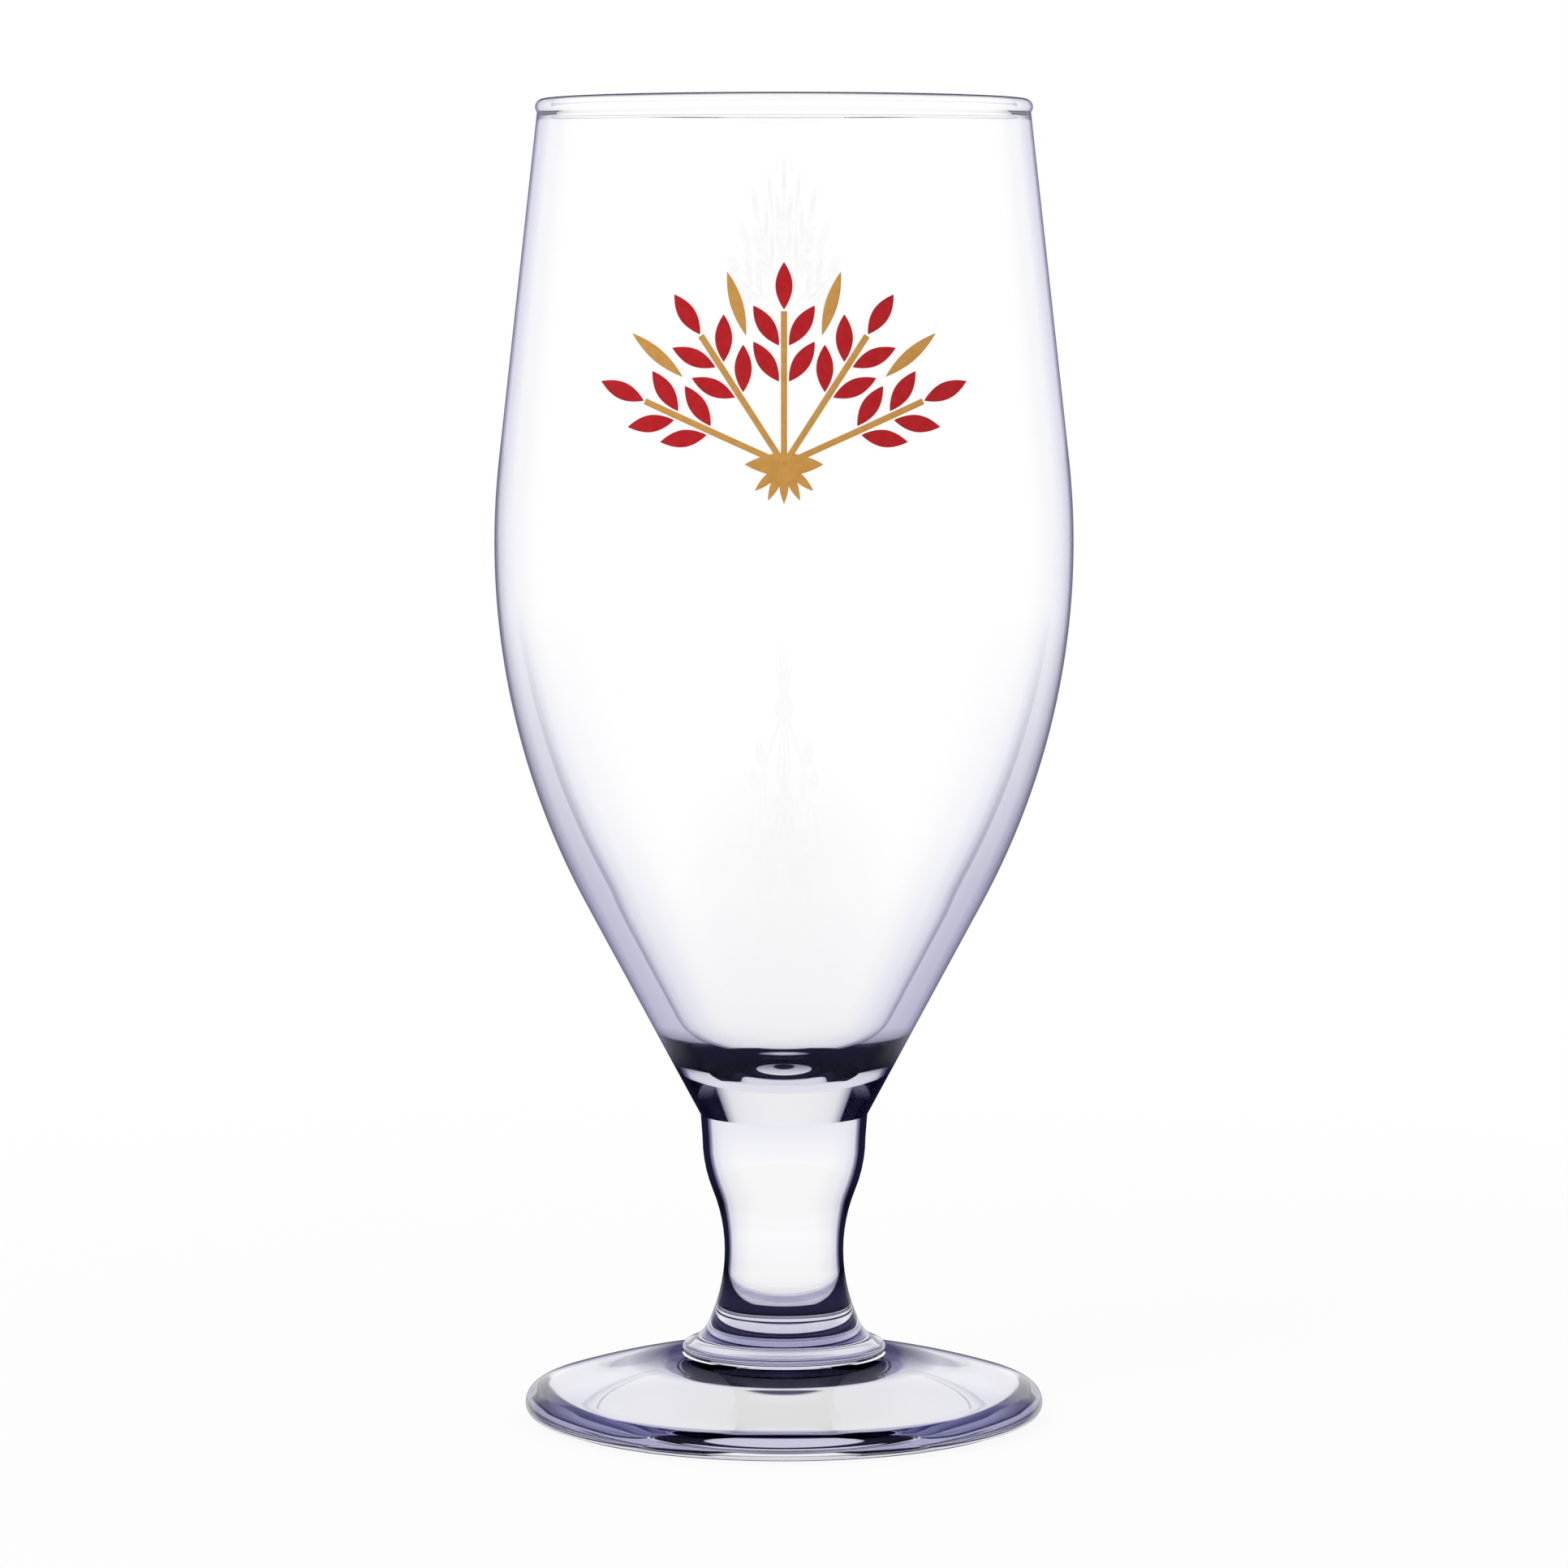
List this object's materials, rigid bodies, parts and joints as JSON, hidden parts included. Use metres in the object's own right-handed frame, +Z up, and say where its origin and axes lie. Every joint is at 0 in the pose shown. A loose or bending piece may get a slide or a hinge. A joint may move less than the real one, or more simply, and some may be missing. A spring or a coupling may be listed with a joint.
{
  "type": "pilsner glass",
  "caption": "Stemmed beer glass with a tall tulip bowl, a thick base, a short waisted stem on a flange and a round domed foot.",
  "frame": {"origin": "on the table plane, under the glass's axis, at the middle of the foot's flat resting ring", "axes": "+Z up along the glass's axis, from the foot to the rim; -Y is the front, the side that carries the print; +X to the right seen from the front"},
  "size_m": [0.0778, 0.0778, 0.178],
  "materials": {
    "bowl_glass": "clear, fire-polished",
    "stem_glass": "clear, pressed and fire-polished",
    "foot_glass": "clear, pressed and fire-polished",
    "enamel_red": "fired gloss enamel",
    "enamel_gold": "fired satin enamel, gold coloured"
  },
  "bodies": {
    "root": {"bowl": "bowl_glass", "stem": "stem_glass", "foot": "foot_glass", "print_red": "enamel_red", "print_gold": "enamel_gold"}
  },
  "joints": []
}
